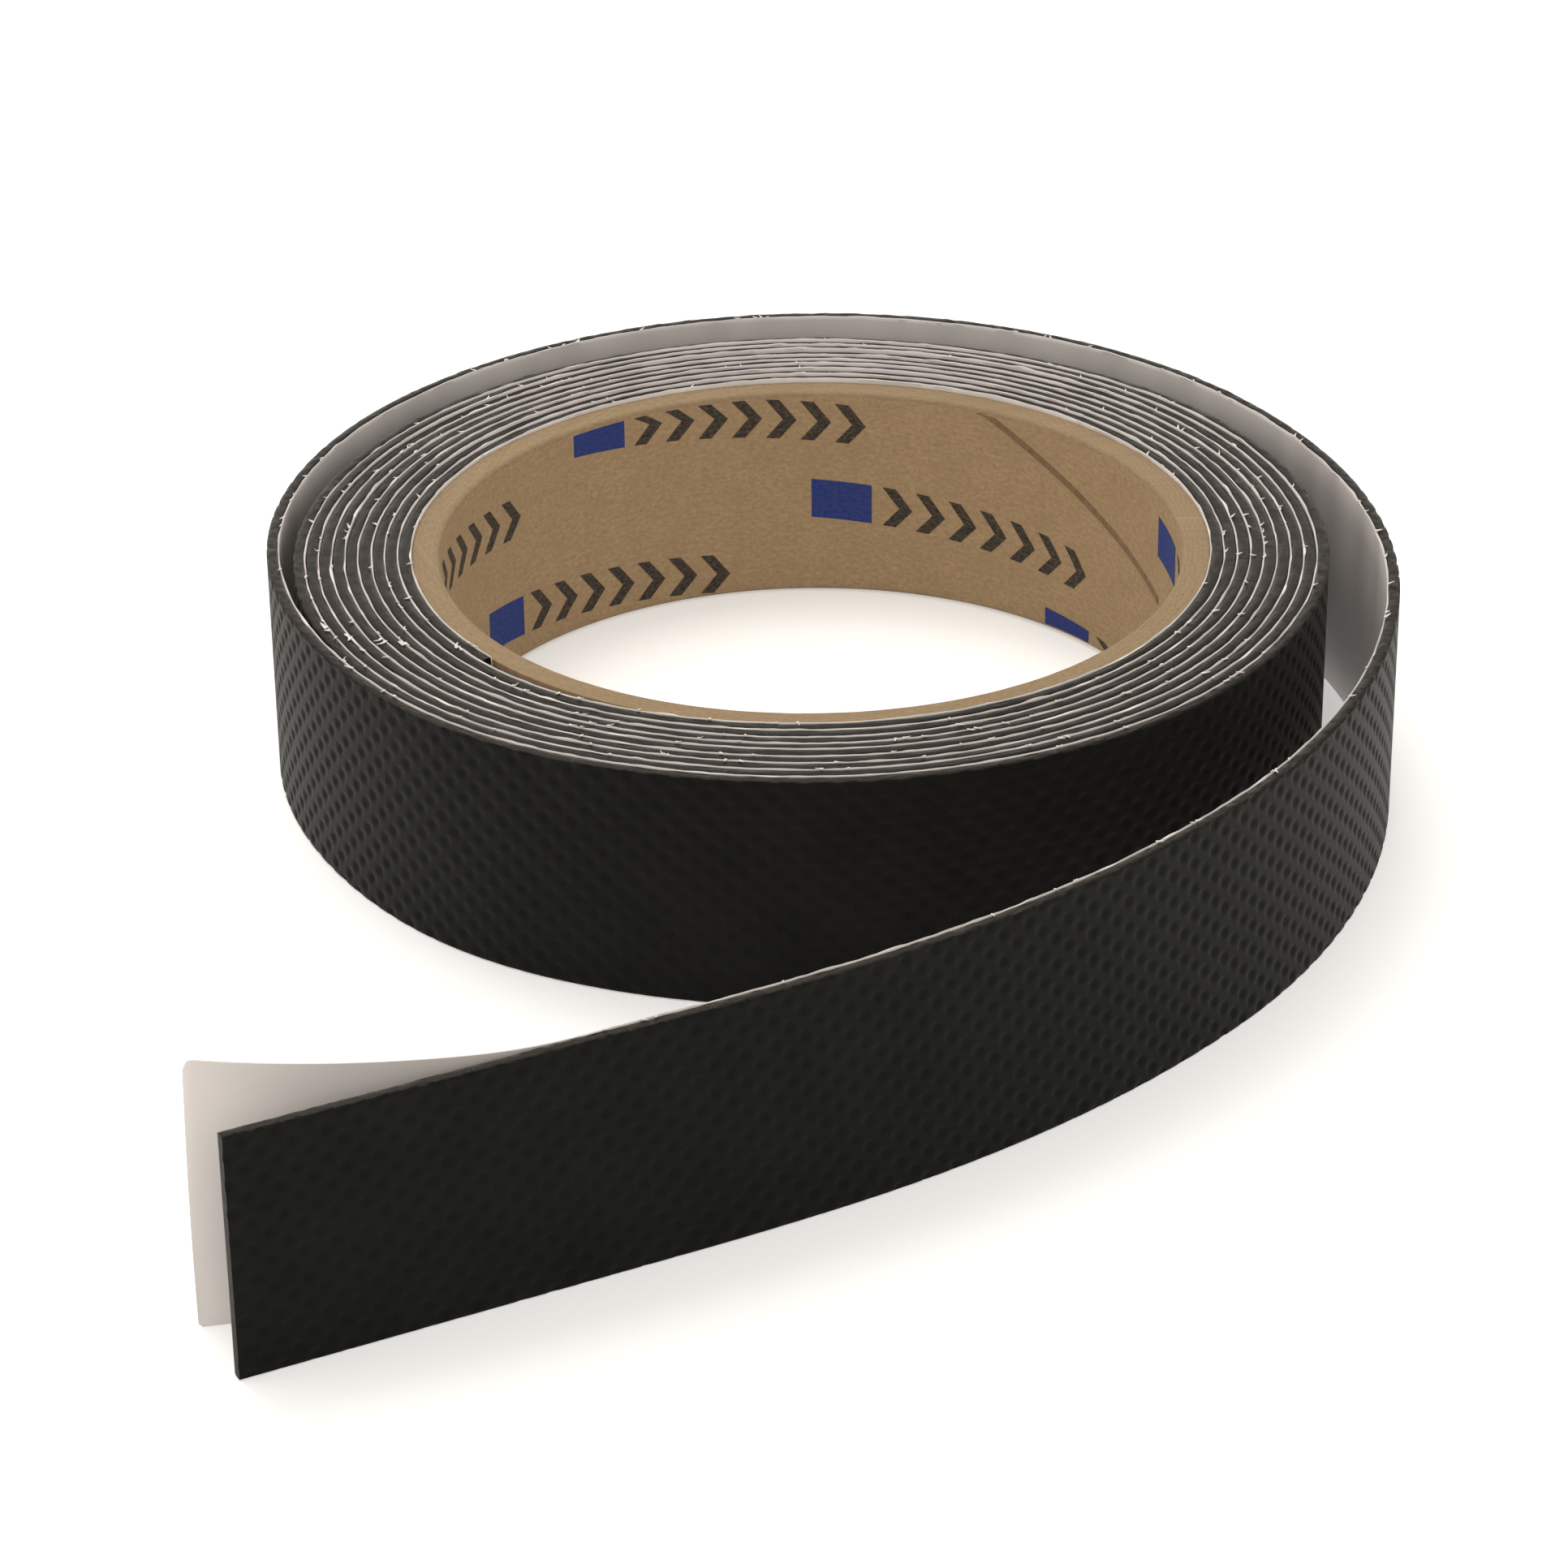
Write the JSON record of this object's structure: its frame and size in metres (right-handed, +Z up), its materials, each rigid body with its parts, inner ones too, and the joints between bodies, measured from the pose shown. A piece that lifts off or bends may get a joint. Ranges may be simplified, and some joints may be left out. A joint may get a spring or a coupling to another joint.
{
  "type": "grip tape roll",
  "caption": "Roll of embossed black rubber grip tape with a white release liner on a paper core, its free tail leading off and the liner starting to peel.",
  "frame": {"origin": "on the core's axis, at the surface that the roll lies on", "axes": "+Z up along the core's axis; -Y towards the free tail; the strip winds clockwise outwards seen from +Z"},
  "size_m": [0.1156, 0.1746, 0.0245],
  "materials": {
    "printed_kraft": "matte",
    "core_kraft": "matte",
    "embossed_rubber": "matte",
    "adhesive_film": "satin",
    "release_liner": "satin"
  },
  "bodies": {
    "roll": {"core_printed_ply": "printed_kraft", "core_middle_ply_1": "core_kraft", "core_middle_ply_2": "core_kraft", "core_middle_ply_3": "core_kraft", "core_outer_ply": "core_kraft", "wound_liner": "release_liner", "wound_adhesive": "adhesive_film", "wound_rubber": "embossed_rubber", "loose_turn_liner": "release_liner", "loose_turn_adhesive": "adhesive_film", "loose_turn_rubber": "embossed_rubber"},
    "tail_root": {"tail_root_liner": "release_liner", "tail_root_adhesive": "adhesive_film", "tail_root_rubber": "embossed_rubber"},
    "tail_second": {"tail_second_liner": "release_liner", "tail_second_adhesive": "adhesive_film", "tail_second_rubber": "embossed_rubber"},
    "tail_third": {"tail_third_liner": "release_liner", "tail_third_adhesive": "adhesive_film", "tail_third_rubber": "embossed_rubber"},
    "tail_tip": {"tail_tip_liner": "release_liner", "tail_tip_adhesive": "adhesive_film", "tail_tip_rubber": "embossed_rubber"},
    "liner_tab_root": {"liner_tab_root": "release_liner"},
    "liner_tab_tip": {"liner_tab_tip": "release_liner"}
  },
  "joints": [
    {"name": "tail_swing", "type": "hinge", "parent": "roll", "child": "tail_root", "pos_m": [0.05889, -0.00858, 0.01225], "axis": [0, 0, 1], "range_deg": [-4, 11]},
    {"name": "tail_second_flex", "type": "hinge", "parent": "tail_root", "child": "tail_second", "pos_m": [0.04805, -0.04496, 0.01225], "axis": [0, 0, 1], "range_deg": [-4, 11]},
    {"name": "tail_third_flex", "type": "hinge", "parent": "tail_second", "child": "tail_third", "pos_m": [0.02296, -0.07354, 0.01225], "axis": [0, 0, 1], "range_deg": [-4, 11]},
    {"name": "tail_tip_flex", "type": "hinge", "parent": "tail_third", "child": "tail_tip", "pos_m": [-0.00745, -0.09293, 0.01225], "axis": [0, 0, 1], "range_deg": [-4, 11]},
    {"name": "liner_peel", "type": "hinge", "parent": "tail_tip", "child": "liner_tab_root", "pos_m": [-0.02022, -0.09871, 0.01225], "axis": [0, 0, -1], "range_deg": [0, 75]},
    {"name": "liner_curl", "type": "hinge", "parent": "liner_tab_root", "child": "liner_tab_tip", "pos_m": [-0.02875, -0.10154, 0.01225], "axis": [0, 0, -1], "range_deg": [0, 75]}
  ],
  "couplings": [
    {"joint": "tail_second_flex", "follows": "tail_swing", "ratio": 1},
    {"joint": "tail_third_flex", "follows": "tail_swing", "ratio": 1},
    {"joint": "tail_tip_flex", "follows": "tail_swing", "ratio": 1},
    {"joint": "liner_curl", "follows": "liner_peel", "ratio": 1}
  ]
}
